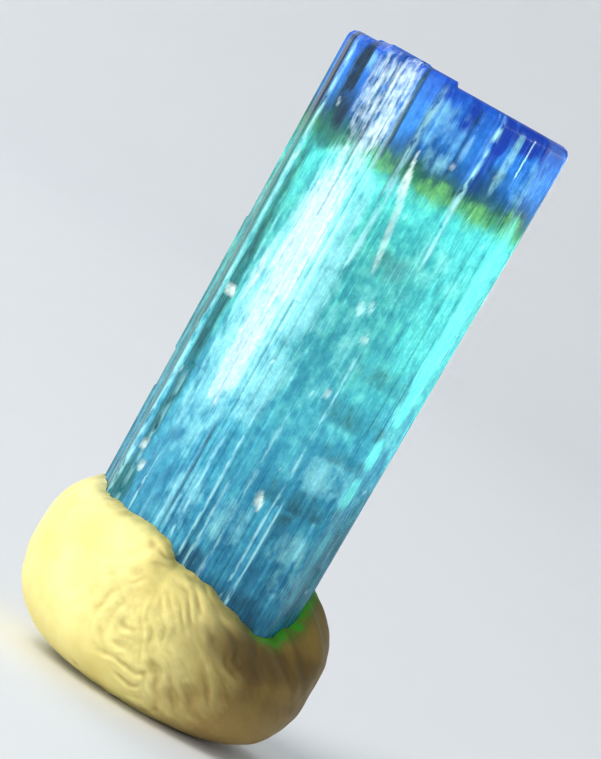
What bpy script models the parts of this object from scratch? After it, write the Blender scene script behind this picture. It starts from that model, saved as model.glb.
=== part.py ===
"""A tourmaline crystal standing in the lump of mounting putty that holds it.

The crystal is a striated prism with a flat, stepped termination. Its section is the
rounded triangle of tourmaline: fourteen prism faces, each broken into narrow strips that
are set in or out a little, and that step in or out again at a few growth ledges.
The putty was pressed up around the crystal's foot and flattened underneath.

Metres, +Z up. The origin is on the surface that the putty rests on, under the middle of
the lump. The side with the widest view of the crystal faces -Y.
"""

import math
import random

import bmesh
import bpy
from mathutils import Matrix, Vector

MM = 0.001

TOURMALINE_COLOUR = (0.16, 0.62, 0.64)
TOURMALINE_IOR = 1.63
PUTTY_COLOUR = (0.93, 0.80, 0.36)

# Crystal
CRYSTAL_TOP = 27.84 * MM
CRYSTAL_FOOT = 2.3 * MM
TAPER_LENGTH = 20.3 * MM
TAPER = 0.051
AXIS_AT_TOP = Vector((-0.195 * MM, -0.2 * MM))
AXIS_LEAN = Vector((-0.115 * MM, 0.0))

# Each prism face: the direction that it faces, in degrees from -Y towards +X, and its
# distance from the axis at the top, in millimetres.
PRISM_FACES = (
    (-75, 4.80), (-52, 4.55), (-28, 4.30), (-14, 4.35), (8, 4.22), (30, 4.52), (62, 5.01),
    (92, 5.11), (122, 4.60), (150, 4.81), (180, 4.90), (208, 4.61), (236, 4.80), (260, 5.01),
)
ARRIS = 0.05 * MM
STRIP_WIDTH = 0.46 * MM
STRIP_WEIGHTS = (0.4, 1.7)
STRIP_WALL = 0.05 * MM
STRIP_DEPTHS = (0.0, 0.035 * MM, 0.06 * MM, 0.09 * MM, 0.13 * MM)
LEDGE_HEIGHTS = tuple(z * MM for z in (8.3, 9.9, 11.4, 13.1, 15.0, 17.3, 19.1, 20.6, 22.9, 25.1))
LEDGE_RISE = 0.09 * MM
LEDGE_CHANCE = 0.1
LEDGE_STEP = 0.05 * MM
STRIP_SEED = 11
# Only faces that look this nearly the same way, as a cosine, can bound the prism there.
FACES_NEAR = 0.3

# Rounding of the top rim and of the buried end: how far from the end, and how far in at
# the section's mean radius.
MEAN_RADIUS = 4.8 * MM
TOP_RIM = ((0.46 * MM, 0.0), (0.24 * MM, 0.04 * MM), (0.08 * MM, 0.15 * MM), (0.0, 0.36 * MM))
FOOT_RIM = ((0.0, 0.5 * MM), (0.35 * MM, 0.0))

# Steps of the termination: the edge of each cut, as a point on it and the direction from
# there towards what is cut lower, in degrees from -Y towards +X, and its depth.
TOP_STEPS = (
    (Vector((-0.35 * MM, -4.0 * MM)), 97, 0.19 * MM),
    (Vector((-3.45 * MM, -2.5 * MM)), -84, 0.12 * MM),
    (Vector((0.6 * MM, 2.9 * MM)), 158, 0.30 * MM),
)
STEP_BOX = 14 * MM
HILLOCK_AT = Vector((-2.3 * MM, -0.5 * MM))
HILLOCK_RADIUS = 1.1 * MM
HILLOCK_SPREAD = 1.25
HILLOCK_HEIGHT = 0.07 * MM
HILLOCK_TURN = 34

# Pits, chips and one long flake scar, in millimetres but for the first and last number:
# facing direction in degrees, height, half width, half height, depth, and how many degrees
# the upper end leans towards +X.
PITS = (
    (-66, 16.4, 0.34, 0.17, 0.16, 12),
    (-70, 22.3, 0.16, 0.15, 0.11, 0),
    (-60, 9.35, 0.18, 0.20, 0.13, 20),
    (-56, 8.6, 0.22, 0.22, 0.14, -15),
    (-50, 17.5, 0.17, 0.65, 0.12, 3),
    (1.5, 22.3, 0.22, 2.6, 0.13, -9.7),
    (16, 9.75, 0.19, 0.36, 0.16, -28),
    (22, 17.3, 0.20, 0.20, 0.13, 30),
    (12, 18.5, 0.15, 0.26, 0.11, -20),
    (21, 14.8, 0.18, 0.32, 0.13, 15),
    (104, 13.6, 0.20, 0.42, 0.13, 8),
    (168, 19.8, 0.24, 0.30, 0.14, -35),
    (222, 12.2, 0.18, 0.48, 0.12, 6),
)

# Putty: its size, how much of its underside is pressed flat, and the gap to the crystal.
PUTTY_WIDTH = 12.88 * MM
PUTTY_DEPTH = 11.8 * MM
BASE_CUT = 0.13 * MM
PUTTY_GAP = 0.12 * MM
PUTTY_SUBDIVISIONS = 5
PUTTY_SHARP_ANGLE = math.radians(40)
# The widest level of the lump, as a share of its height at the crystal in that direction.
BELLY_SHARE = 0.5
BELLY_BASE = 0.45 * MM
# How square the lump is above and below its widest level: 2 is an ellipse. It changes by
# the second number between the front and the +X side.
UPPER_SQUARENESS = (2.65, -0.45)
LOWER_SQUARENESS = (2.85, 0.25)

# Height of the putty where it meets the crystal, by direction from -Y towards +X.
RIM_HEIGHTS = (
    (-180, 7.65), (-120, 7.6), (-90, 7.45), (-62, 7.0), (-38, 6.8), (-21, 6.6), (-7, 5.9),
    (12, 5.6), (32, 5.05), (46, 4.8), (60, 5.1), (78, 6.5), (96, 7.55), (125, 7.8), (180, 7.65),
)

# The directions beside each one over which the crystal's corners are evened out.
GRIP_TURNS = (-24, -12, 0, 12, 24)

# Where the mesh of the lump is finer: this share of its depth in front of its middle.
FINE_FRONT = -0.68

# Thumb whorl and pinched folds on the front of the putty: centre across and height, then
# the spacing and depth of the rings, and how far out they fade.
WHORL_AT = Vector((-0.6 * MM, 3.75 * MM))
WHORL_SPACING = 1.25 * MM
WHORL_DEPTH = 0.08 * MM
WHORL_REACH = 2.8 * MM
WHORL_STRETCH = 1.25
# Folds, in millimetres: one end and the other, as across and height, then half width and
# depth. They fade out within FOLD_FADE of the lump's middle plane.
FOLD_FADE = 3.0 * MM
FOLDS = (
    ((0.6, 5.0), (2.1, 3.3), 0.38, 0.20),
    ((2.2, 4.2), (3.5, 3.0), 0.36, 0.17),
    ((1.2, 2.5), (2.3, 0.9), 0.40, 0.20),
    ((2.8, 2.4), (3.9, 1.4), 0.38, 0.15),
    ((-0.9, 5.7), (0.0, 5.0), 0.34, 0.13),
)


def clear_scene():
    for obj in list(bpy.data.objects):
        bpy.data.objects.remove(obj)


def new_collection(name):
    collection = bpy.data.collections.new(name)
    bpy.context.scene.collection.children.link(collection)
    return collection


def new_material(name, colour, roughness, transmission=0.0, ior=1.5):
    material = bpy.data.materials.new(name)
    material.use_nodes = True
    shader = material.node_tree.nodes["Principled BSDF"]
    shader.inputs["Base Color"].default_value = (*colour, 1.0)
    shader.inputs["Roughness"].default_value = roughness
    shader.inputs["Metallic"].default_value = 0.0
    shader.inputs["Transmission Weight"].default_value = transmission
    shader.inputs["IOR"].default_value = ior
    material.diffuse_color = (*colour, 1.0)
    return material


def new_object(name, bm, collection):
    mesh = bpy.data.meshes.new(name)
    bm.to_mesh(mesh)
    bm.free()
    obj = bpy.data.objects.new(name, mesh)
    collection.objects.link(obj)
    return obj


def new_cutter(name, bm, collection):
    cutter = new_object(name, bm, collection)
    cutter.hide_render = True
    cutter.display_type = "WIRE"
    return cutter


def add_boolean(obj, operation, other):
    modifier = obj.modifiers.new(other.name, "BOOLEAN")
    modifier.operation = operation
    modifier.solver = "EXACT"
    modifier.object = other


def facing(degrees):
    """The direction in plan that is this many degrees from -Y towards +X."""
    angle = math.radians(degrees)
    return Vector((math.sin(angle), -math.cos(angle)))


def smooth_step(share):
    share = min(1.0, max(0.0, share))
    return share * share * (3.0 - 2.0 * share)


def axis_at(z):
    return AXIS_AT_TOP + AXIS_LEAN * ((CRYSTAL_TOP - z) / TAPER_LENGTH)


def width_at(z):
    """The section's size at this height, as a share of its size at the top."""
    return 1.0 - TAPER * (CRYSTAL_TOP - z) / TAPER_LENGTH


def section_corners():
    """The corners between each face and the next, about the axis, at the top's size."""
    corners = []
    for index, (here, here_out) in enumerate(PRISM_FACES):
        there, there_out = PRISM_FACES[(index + 1) % len(PRISM_FACES)]
        a, b = facing(here), facing(there)
        cross = a.x * b.y - a.y * b.x
        x = (here_out * b.y - there_out * a.y) / cross
        y = (there_out * a.x - here_out * b.x) / cross
        corners.append(Vector((x, y)) * MM)
    return corners


def face_strips(width, chooser):
    """One face's strips: where each starts and ends along the face, and how far in it is set
    below, between and above the ledges."""
    count = max(1, round(width / STRIP_WIDTH))
    weights = [chooser.uniform(*STRIP_WEIGHTS) for _ in range(count)]
    strips = []
    start = ARRIS
    previous = None
    for weight in weights:
        end = start + (width - 2 * ARRIS) * weight / sum(weights)
        depth = chooser.choice([d for d in STRIP_DEPTHS if d != previous])
        previous = depth
        depths = [depth]
        for _ in LEDGE_HEIGHTS:
            if chooser.random() < LEDGE_CHANCE:
                depth = abs(depth + chooser.choice((-1, 1)) * LEDGE_STEP)
            depths.append(depth)
        strips.append((start, end, depths))
        start = end
    return strips


def crystal_strips():
    """Each face's first corner, direction along it, outward direction and strips."""
    chooser = random.Random(STRIP_SEED)
    corners = section_corners()
    faces = []
    for index, (degrees, _) in enumerate(PRISM_FACES):
        first, last = corners[index - 1], corners[index]
        along = (last - first).normalized()
        strips = face_strips((last - first).length, chooser)
        faces.append((first, along, facing(degrees), strips))
    return faces


def section_points(faces, layer):
    """The outline of one section about the axis: each strip's two edges, walls between them.
    A corner is set in as far as the strips beside it are, on average."""
    points = []
    for index, (first, along, outward, strips) in enumerate(faces):
        before = faces[index - 1][3][-1][2][layer]
        after = strips[0][2][layer]
        points.append(first - first.normalized() * (before + after) / 2)
        for start, end, depths in strips:
            inward = outward * -depths[layer]
            points.append(first + along * (start + STRIP_WALL / 2) + inward)
            points.append(first + along * (end - STRIP_WALL / 2) + inward)
    return points


def crystal_levels():
    """Height, layer of strip depths and inset of each section, from the foot up."""
    levels = [(CRYSTAL_FOOT + up, 0, inset) for up, inset in FOOT_RIM]
    for layer, z in enumerate(LEDGE_HEIGHTS):
        levels.append((z - LEDGE_RISE / 2, layer, 0.0))
        levels.append((z + LEDGE_RISE / 2, layer + 1, 0.0))
    levels += [(CRYSTAL_TOP - down, len(LEDGE_HEIGHTS), inset) for down, inset in TOP_RIM]
    return levels


def loft(sections):
    """A closed mesh through sections of equal point counts, each a list of 3-D points."""
    bm = bmesh.new()
    rings = [[bm.verts.new(point) for point in section] for section in sections]
    for lower, upper in zip(rings, rings[1:]):
        for index in range(len(lower)):
            after = (index + 1) % len(lower)
            bm.faces.new((lower[index], lower[after], upper[after], upper[index]))
    bm.faces.new(list(reversed(rings[0])))
    bm.faces.new(rings[-1])
    return bm


def placed(points, z, inset=0.0):
    """Points about the axis, set at this height with its taper and lean, and drawn in."""
    axis = axis_at(z)
    width = width_at(z) * (1.0 - inset / MEAN_RADIUS)
    return [(axis.x + p.x * width, axis.y + p.y * width, z) for p in points]


def crystal_surface(degrees, z):
    """Where the plain prism's surface lies in this direction from the axis."""
    aim = facing(degrees)
    reach = min(
        out * MM / facing(face).dot(aim)
        for face, out in PRISM_FACES
        if facing(face).dot(aim) > FACES_NEAR
    )
    spot = axis_at(z) + aim * reach * width_at(z)
    return Vector((spot.x, spot.y, z))


def step_cutter(name, edge, degrees, depth, collection):
    """A box that lowers the termination on one side of a line."""
    middle = edge + facing(degrees) * STEP_BOX / 2
    turn = Matrix.Rotation(math.radians(degrees), 4, "Z")
    low = CRYSTAL_TOP - depth
    bm = bmesh.new()
    bmesh.ops.create_cube(bm, size=STEP_BOX, matrix=turn)
    bmesh.ops.translate(bm, verts=bm.verts, vec=(middle.x, middle.y, low + STEP_BOX / 2))
    return new_cutter(name, bm, collection)


def pit_cutter(name, pit, collection):
    """A rough little ball, stretched along the pit and sunk into the surface by its depth."""
    degrees, up, half_width, half_height, depth, lean = pit
    bm = bmesh.new()
    bmesh.ops.create_icosphere(bm, subdivisions=1, radius=1.0)
    turn = Matrix.Rotation(math.radians(degrees), 4, "Z")
    tip = Matrix.Rotation(math.radians(lean), 4, "Y")
    size = Matrix.Diagonal((half_width * MM, 2 * depth * MM, half_height * MM, 1.0))
    spot = crystal_surface(degrees, up * MM) + Vector((*facing(degrees), 0.0)) * depth * MM
    bm.transform(Matrix.Translation(spot) @ turn @ tip @ size)
    return new_cutter(name, bm, collection)


def hillock(collection):
    """A low three-sided growth hillock, half sunk in the termination."""
    turn = Matrix.Rotation(math.radians(HILLOCK_TURN), 3, "Z")
    bm = bmesh.new()
    bmesh.ops.create_cone(
        bm, cap_ends=True, segments=3, depth=2 * HILLOCK_HEIGHT,
        radius1=HILLOCK_RADIUS * HILLOCK_SPREAD, radius2=HILLOCK_RADIUS,
    )
    bmesh.ops.rotate(bm, verts=bm.verts, matrix=turn)
    bmesh.ops.translate(bm, verts=bm.verts, vec=(HILLOCK_AT.x, HILLOCK_AT.y, CRYSTAL_TOP))
    return new_cutter("hillock", bm, collection)


def build_crystal(parts, cutters):
    faces = crystal_strips()
    sections = [
        placed(section_points(faces, layer), z, inset) for z, layer, inset in crystal_levels()
    ]
    crystal = new_object("tourmaline_crystal", loft(sections), parts)
    crystal.data.materials.append(
        new_material("tourmaline", TOURMALINE_COLOUR, 0.08, 0.9, TOURMALINE_IOR)
    )
    for index, (edge, degrees, depth) in enumerate(TOP_STEPS):
        cutter = step_cutter(f"top_step_{index + 1}", edge, degrees, depth, cutters)
        add_boolean(crystal, "DIFFERENCE", cutter)
    add_boolean(crystal, "UNION", hillock(cutters))
    for index, pit in enumerate(PITS):
        add_boolean(crystal, "DIFFERENCE", pit_cutter(f"pit_{index + 1}", pit, cutters))
    return crystal


def rim_height(degrees):
    """The putty's height where it meets the crystal, smoothly between the listed directions."""
    for (here, low), (there, high) in zip(RIM_HEIGHTS, RIM_HEIGHTS[1:]):
        if here <= degrees <= there:
            share = smooth_step((degrees - here) / (there - here))
            return (low + (high - low) * share) * MM
    return RIM_HEIGHTS[0][1] * MM


def fold_depth(across, up):
    """How far the whorl and the folds press in or out at a place on the front."""
    place = Vector((across, up))
    from_whorl = place - WHORL_AT
    out = Vector((from_whorl.x * WHORL_STRETCH, from_whorl.y)).length
    fade = 1.0 - smooth_step(out / WHORL_REACH)
    press = WHORL_DEPTH * fade * math.cos(2 * math.pi * out / WHORL_SPACING)
    for start, end, half_width, depth in FOLDS:
        first, last = Vector(start) * MM, Vector(end) * MM
        run = last - first
        share = (place - first).dot(run) / run.length_squared
        nearest = first + run * min(1.0, max(0.0, share))
        press += depth * MM * math.exp(-(((place - nearest).length / (half_width * MM)) ** 2))
    return press


def grip_radius(degrees, z):
    """How far out the crystal's surface lies from the lump's middle, evened out over its corners."""
    near = [crystal_surface(degrees + turn, z).xy.length for turn in GRIP_TURNS]
    return sum(near) / len(near)


def putty_point(direction):
    """Where the lump's surface lies in this direction from the middle of its widest level."""
    flat = Vector((direction.x, direction.y)).length
    degrees = math.degrees(math.atan2(direction.x, -direction.y))
    side = math.sin(math.radians(degrees))
    ahead = math.cos(math.radians(degrees))
    widest = 0.5 / math.hypot(side / PUTTY_WIDTH, ahead / PUTTY_DEPTH)
    rim = rim_height(degrees)
    belly = BELLY_BASE + rim * BELLY_SHARE
    if direction.z > 0:
        square = UPPER_SQUARENESS[0] + UPPER_SQUARENESS[1] * side
        contact = grip_radius(degrees, rim) / widest
        height = (rim - belly) / (1 - contact**square) ** (1 / square)
    else:
        square = LOWER_SQUARENESS[0] + LOWER_SQUARENESS[1] * side
        height = belly
    reach = ((flat / widest) ** square + (abs(direction.z) / height) ** square) ** (-1 / square)
    point = direction * reach
    point.z += belly
    if point.y < 0:
        point.y += fold_depth(point.x, point.z) * smooth_step(-point.y / FOLD_FADE)
    return point


def centre_in_plan(bm):
    """Scales and moves the lump in plan to its stated width and depth about the origin."""
    for axis, size in enumerate((PUTTY_WIDTH, PUTTY_DEPTH)):
        low = min(v.co[axis] for v in bm.verts)
        high = max(v.co[axis] for v in bm.verts)
        for v in bm.verts:
            v.co[axis] = (v.co[axis] - (low + high) / 2) * size / (high - low)


def build_putty(parts, cutters):
    bm = bmesh.new()
    bmesh.ops.create_icosphere(bm, subdivisions=PUTTY_SUBDIVISIONS, radius=1.0)
    front = [e for e in bm.edges if all(v.co.y < FINE_FRONT for v in e.verts)]
    bmesh.ops.subdivide_edges(bm, edges=front, cuts=1, use_grid_fill=True)
    bmesh.ops.triangulate(bm, faces=bm.faces)
    for v in bm.verts:
        v.co = putty_point(v.co.normalized())
    centre_in_plan(bm)
    bmesh.ops.bisect_plane(
        bm, geom=bm.verts[:] + bm.edges[:] + bm.faces[:], dist=1e-7,
        plane_co=(0, 0, BASE_CUT), plane_no=(0, 0, -1), clear_outer=True,
    )
    bmesh.ops.holes_fill(bm, edges=[e for e in bm.edges if e.is_boundary])
    bmesh.ops.translate(bm, verts=bm.verts, vec=(0, 0, -BASE_CUT))
    bmesh.ops.recalc_face_normals(bm, faces=bm.faces)
    putty = new_object("mounting_putty", bm, parts)
    putty.data.shade_smooth()
    putty.data.set_sharp_from_angle(angle=PUTTY_SHARP_ANGLE)
    putty.data.materials.append(new_material("putty", PUTTY_COLOUR, 0.55))
    add_boolean(putty, "DIFFERENCE", pocket_cutter(cutters))
    return putty


def pocket_cutter(collection):
    """The crystal's plain prism and the gap round it, from under its foot to above the putty."""
    corners = section_corners()
    sections = []
    for z in (CRYSTAL_FOOT - PUTTY_GAP, CRYSTAL_TOP / 2):
        grown = [corner + corner.normalized() * PUTTY_GAP for corner in corners]
        sections.append(placed(grown, z))
    return new_cutter("crystal_pocket", loft(sections), collection)


def main():
    clear_scene()
    parts = new_collection("tourmaline_specimen")
    cutters = new_collection("cutters")
    build_crystal(parts, cutters)
    build_putty(parts, cutters)


main()
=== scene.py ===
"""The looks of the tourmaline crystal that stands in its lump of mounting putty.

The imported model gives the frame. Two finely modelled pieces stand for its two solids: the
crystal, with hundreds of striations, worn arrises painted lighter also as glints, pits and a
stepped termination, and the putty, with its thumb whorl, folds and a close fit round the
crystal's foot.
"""

import math
import random

import bmesh
import bpy
import numpy as np
from mathutils import Matrix, Vector


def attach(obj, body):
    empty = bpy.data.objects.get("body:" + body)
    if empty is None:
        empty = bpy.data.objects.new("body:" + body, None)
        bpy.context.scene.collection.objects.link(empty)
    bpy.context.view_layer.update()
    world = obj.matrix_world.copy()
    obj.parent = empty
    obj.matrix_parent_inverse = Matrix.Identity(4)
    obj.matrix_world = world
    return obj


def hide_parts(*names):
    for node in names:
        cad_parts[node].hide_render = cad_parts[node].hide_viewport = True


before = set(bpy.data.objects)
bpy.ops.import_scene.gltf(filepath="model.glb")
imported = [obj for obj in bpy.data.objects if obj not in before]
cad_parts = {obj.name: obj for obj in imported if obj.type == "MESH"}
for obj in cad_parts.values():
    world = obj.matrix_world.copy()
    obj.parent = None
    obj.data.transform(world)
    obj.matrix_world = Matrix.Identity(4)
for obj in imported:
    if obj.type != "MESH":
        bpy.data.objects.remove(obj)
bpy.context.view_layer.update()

MM = 0.001

# The photograph: its height and a pixel's real width, the crystal's lean, and its middle.
PHOTO_HEIGHT = 759
PIXEL = 0.04 * MM
PHOTO_LEAN = math.radians(29.2)
PHOTO_MIDDLE = Vector((-0.09 * MM, 0.0, 14.43 * MM))
# The camera: how far it looks down, how far off it stands, its sensor in millimetres, and
# from where to where it sees in metres.
CAMERA_RISE = math.radians(4)
CAMERA_DISTANCE = 180 * MM
SENSOR = 36.0
CAMERA_REACH = (0.005, 5.0)

# The crystal's form, as in the part but for softer walls and closer pits.
CRYSTAL_TOP = 27.84 * MM
CRYSTAL_FOOT = 2.3 * MM
TAPER_LENGTH = 20.3 * MM
TAPER = 0.051
AXIS_AT_TOP = Vector((-0.195 * MM, -0.2 * MM))
AXIS_LEAN = Vector((-0.115 * MM, 0.0))
# Each prism face: its direction in degrees from -Y towards +X, and its distance from the axis
# at the top, in millimetres.
PRISM_FACES = (
    (-75, 4.80), (-52, 4.55), (-28, 4.30), (-14, 4.35), (8, 4.22), (30, 4.52), (62, 5.01),
    (92, 5.11), (122, 4.60), (150, 4.81), (180, 4.90), (208, 4.61), (236, 4.80), (260, 5.01),
)
# The strips along each face: the corner's rounding, a strip's usual width and how it varies,
# the wall between two, and how far in a strip may lie.
ARRIS = 0.05 * MM
STRIP_WIDTH = 0.46 * MM
STRIP_WEIGHTS = (0.4, 1.7)
STRIP_WALL = 0.09 * MM
STRIP_DEPTHS = (0.0, 0.035 * MM, 0.06 * MM, 0.09 * MM, 0.13 * MM)
# Where a strip may step in or out, over what height, how often and how far.
LEDGE_HEIGHTS = tuple(z * MM for z in (8.3, 9.9, 11.4, 13.1, 15.0, 17.3, 19.1, 20.6, 22.9, 25.1))
LEDGE_RISE = 0.09 * MM
LEDGE_CHANCE = 0.1
LEDGE_STEP = 0.05 * MM
STRIP_SEED = 11
# The face that no step parts from the one before it, and for how many layers from the foot.
QUIET_FACE = 30
QUIET_LAYERS = 8
# Only faces that look this nearly the same way, as a cosine, bound the prism there.
FACES_NEAR = 0.3
MEAN_RADIUS = 4.8 * MM
# The rounding of the top and of the foot: how far from the end, and how far in.
TOP_RIM = ((0.46 * MM, 0.0), (0.24 * MM, 0.04 * MM), (0.08 * MM, 0.15 * MM), (0.0, 0.36 * MM))
FOOT_RIM = ((0.0, 0.5 * MM), (0.35 * MM, 0.0))
# The termination's steps: a point on the edge, the lower side's direction, and how much lower.
TOP_STEPS = (
    (Vector((-0.35 * MM, -4.0 * MM)), 97, 0.19 * MM),
    (Vector((-3.45 * MM, -2.5 * MM)), -84, 0.12 * MM),
    (Vector((0.6 * MM, 2.9 * MM)), 158, 0.30 * MM),
)
# The three-sided growth hillock on the termination.
HILLOCK_AT = Vector((-2.3 * MM, -0.5 * MM))
HILLOCK_RADIUS = 1.1 * MM
HILLOCK_HEIGHT = 0.07 * MM
HILLOCK_TURN = 34
# Pits, chips and a flake scar: direction in degrees, then height, half width, half height and
# depth in millimetres, the lean towards +X in degrees, and how frosted the pit is.
PITS = (
    (-64, 16.35, 0.36, 0.15, 0.14, 8, 0.95), (-70, 22.3, 0.16, 0.15, 0.11, 0, 0.7),
    (-65, 9.35, 0.18, 0.2, 0.12, 20, 0.7), (-59, 8.55, 0.22, 0.22, 0.12, -15, 0.75),
    (-50, 17.5, 0.12, 0.55, 0.1, 3, 0.7), (-61, 24.9, 0.07, 0.2, 0.02, -25, 0.6),
    (-1.6, 24.1, 0.06, 0.62, 0.04, -9, 0.75), (-0.4, 23.35, 0.17, 0.66, 0.05, -9, 0.95),
    (4.6, 21.6, 0.15, 1.75, 0.04, -9, 0.55), (16, 9.75, 0.17, 0.36, 0.14, -28, 1.0),
    (22.4, 17.25, 0.17, 0.18, 0.03, 30, 0.5), (12, 18.25, 0.16, 0.24, 0.02, -30, 0.38),
    (17, 18.5, 0.12, 0.26, 0.02, -20, 0.35), (19.5, 14.75, 0.14, 0.2, 0.03, 15, 0.42),
    (17.4, 24.85, 0.12, 0.14, 0.02, 0, 0.5), (104, 13.6, 0.2, 0.42, 0.13, 8, 0.9),
    (168, 19.8, 0.24, 0.3, 0.14, -35, 0.9), (222, 12.2, 0.18, 0.48, 0.12, 6, 0.9),
)

# The striations: how far apart on the front and elsewhere, their relief, the share that is
# smooth, and how often their depth may change on the way up.
STRIA_SPACING = 0.055 * MM
STRIA_SPACING_BEHIND = 0.1 * MM
STRIA_RELIEF = 0.008 * MM
STRIA_GROOVES = 0.5
STRIA_KNOTS = 14
# Where the striation is faint: from and to in degrees, from which height, and how much is left.
CALM_TURNS = (-24, 72)
CALM_FROM = 12.5
CALM_KEEPS = 0.3
# The rise from one ring of points to the next, coarser near the foot, and the end's rings.
RING_RISE = 0.2 * MM
BURIED_RISE = 0.6 * MM
BURIED_BELOW = 4.5 * MM
CAP_RINGS = 20
DETAIL_SEED = 5
# Tiny random pits: how many, half width from and to in millimetres, depth, and how frosted.
SPECK_COUNT = 44
SPECK_SIZES = (0.03, 0.08)
SPECK_DEPTH = 0.04
SPECK_STRENGTH = 0.4
# Worn arrises and rubbed lines, painted lighter, which also stand for painted glints along the
# arrises: direction in degrees, lowest and highest point and half width in millimetres, and
# strength.
RUBBED_AND_GLINT_LINES = (
    (-80.0, 6.0, 13.0, 0.05, 0.55), (-71.0, 5.0, 27.7, 0.1, 1.0), (-63.5, 6.0, 13.0, 0.06, 0.6),
    (-59.5, 16.6, 20.4, 0.05, 0.6), (-49.5, 6.0, 9.8, 0.07, 1.0), (-47.6, 10.0, 19.0, 0.05, 0.35),
    (-40.0, 6.0, 8.6, 0.05, 0.5), (-34.5, 6.0, 8.9, 0.05, 0.45), (-30.0, 6.0, 9.4, 0.07, 0.8),
    (-24.0, 6.0, 8.8, 0.05, 0.5), (-18.5, 6.0, 12.0, 0.06, 0.85), (-13.0, 18.5, 23.4, 0.05, 0.45),
    (-9.0, 5.0, 13.6, 0.05, 0.95), (-3.5, 5.0, 10.2, 0.06, 1.0), (-6.4, 13.0, 20.0, 0.05, 0.35),
    (-6.4, 19.0, 27.7, 0.11, 1.2), (6.6, 5.0, 13.6, 0.07, 0.8), (18.5, 24.9, 27.4, 0.09, 0.6),
    (23.6, 5.0, 16.9, 0.05, 0.95), (27.4, 5.0, 10.4, 0.05, 0.95), (28.4, 20.7, 27.7, 0.09, 1.6),
    (42.0, 24.2, 27.2, 0.1, 0.4), (56.2, 6.0, 14.0, 0.05, 0.25), (95.9, 6.0, 27.2, 0.05, 0.4),
    (141.1, 6.0, 27.4, 0.06, 0.6), (167.0, 7.0, 21.0, 0.05, 0.45), (-173.0, 9.0, 27.4, 0.06, 0.6),
    (-133.4, 7.0, 27.3, 0.06, 0.55), (-106.2, 6.0, 27.3, 0.05, 0.45),
)
# How many degrees a rubbed line sways, how much its width varies, and over what height.
RUB_SWAY = 0.7
RUB_VARIES = 0.5
RUB_RISE = 1.5
RUB_SEED = 17

# How steeply a patch of colour fades out at its edge.
PATCH_EDGE = 2.2
# The patches: direction and height, half width and half height, in degrees and millimetres,
# and strength.
# Painted highlights: soft lavender-white patches, chiefly where the strip light's reflection falls
# on the face at -28 degrees and on the cap above it, and a few behind.
PAINTED_HIGHLIGHT = (
    (-35, 19.7, 10, 3.1, 0.95), (-35.5, 14.9, 7.5, 2.6, 0.9), (-42, 26.0, 6, 1.8, 0.5),
    (-29, 25.9, 8.5, 2.1, 0.62), (-33, 23.6, 9, 1.2, 0.3), (-51, 17.6, 4, 1.4, 0.5),
    (152, 20.5, 8, 4.5, 0.7), (-150, 14.0, 7, 3.4, 0.6), (112, 23.5, 6, 2.4, 0.5),
    (-160, 25.8, 8, 1.5, 0.6),
)
# Milky cloudiness in the crystal, and beside the painted highlight its painted halo of reflected
# light.
MILK_AND_PAINTED_HALO = (
    (-20, 17.9, 15, 2.8, 0.9), (-36, 17.4, 15, 6.2, 0.85), (-22, 21.3, 11, 1.8, 0.7),
    (-17, 14.0, 11, 1.9, 0.7), (-50, 15.0, 7, 5.0, 0.55), (-42, 11.2, 13, 1.5, 0.3),
    (-22, 8.4, 12, 1.3, 0.42), (42, 11.7, 18, 0.9, 0.42), (44, 8.5, 11, 0.8, 0.42),
    (52, 7.2, 9, 0.7, 0.4), (8, 8.4, 10, 1.0, 0.48), (4, 17.0, 22, 3.5, 0.24),
    (-3, 26.0, 7, 1.0, 0.45), (8, 25.6, 8, 1.4, 0.45), (62, 25.6, 10, 1.3, 0.28),
    (42.5, 25.9, 2.4, 1.4, 0.7), (-54, 26.7, 6, 0.6, 0.45), (34, 20.6, 24, 2.0, 0.22),
    (170, 16.0, 30, 3.0, 0.5), (120, 19.0, 14, 3.2, 0.5), (-140, 18.0, 14, 3.2, 0.5),
)
GREEN = (
    (-78, 16.0, 5.4, 12.5, 0.9), (-64.5, 16.4, 4.2, 9.0, 0.7), (-92, 17.0, 10, 12.5, 0.5),
    (-68, 7.2, 11, 1.5, 0.75), (76, 8.2, 9, 3.6, 0.5), (-57, 23.8, 9, 1.0, 0.9),
    (-46, 23.9, 4, 0.8, 0.6), (115, 16.0, 15, 12.0, 0.4), (-140, 10.0, 13, 6.0, 0.4),
)
SHADE = (
    (-60, 26.0, 5.5, 1.8, 1.0), (-55, 24.9, 7, 1.1, 0.85), (-19.2, 25.9, 1.8, 2.2, 1.0),
    (40, 25.0, 10, 0.8, 0.35), (-79, 26.0, 5, 2.2, 1.0), (-36, 25.9, 14, 2.1, 0.5),
    (16.6, 26.0, 1.2, 1.6, 0.6), (-8.3, 24.4, 1.2, 3.0, 0.5), (33, 24.6, 4, 0.7, 0.5),
    (-26.5, 9.5, 1.4, 2.6, 0.7), (-65, 14.0, 2.4, 6.0, 0.35), (46, 16.2, 22, 0.5, 0.28),
    (40, 14.3, 24, 0.55, 0.34), (42, 12.7, 20, 0.42, 0.32), (36, 10.4, 26, 0.6, 0.36),
    (15, 20.2, 12, 0.7, 0.28), (4, 16.3, 10, 0.6, 0.25), (-2, 6.1, 10, 1.0, 0.42),
    (28, 5.2, 26, 1.1, 0.5), (33, 9.2, 6, 0.7, 0.4), (170, 12.0, 34, 0.6, 0.4),
    (150, 16.5, 26, 0.5, 0.4), (-150, 19.0, 22, 0.5, 0.4),
)
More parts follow.
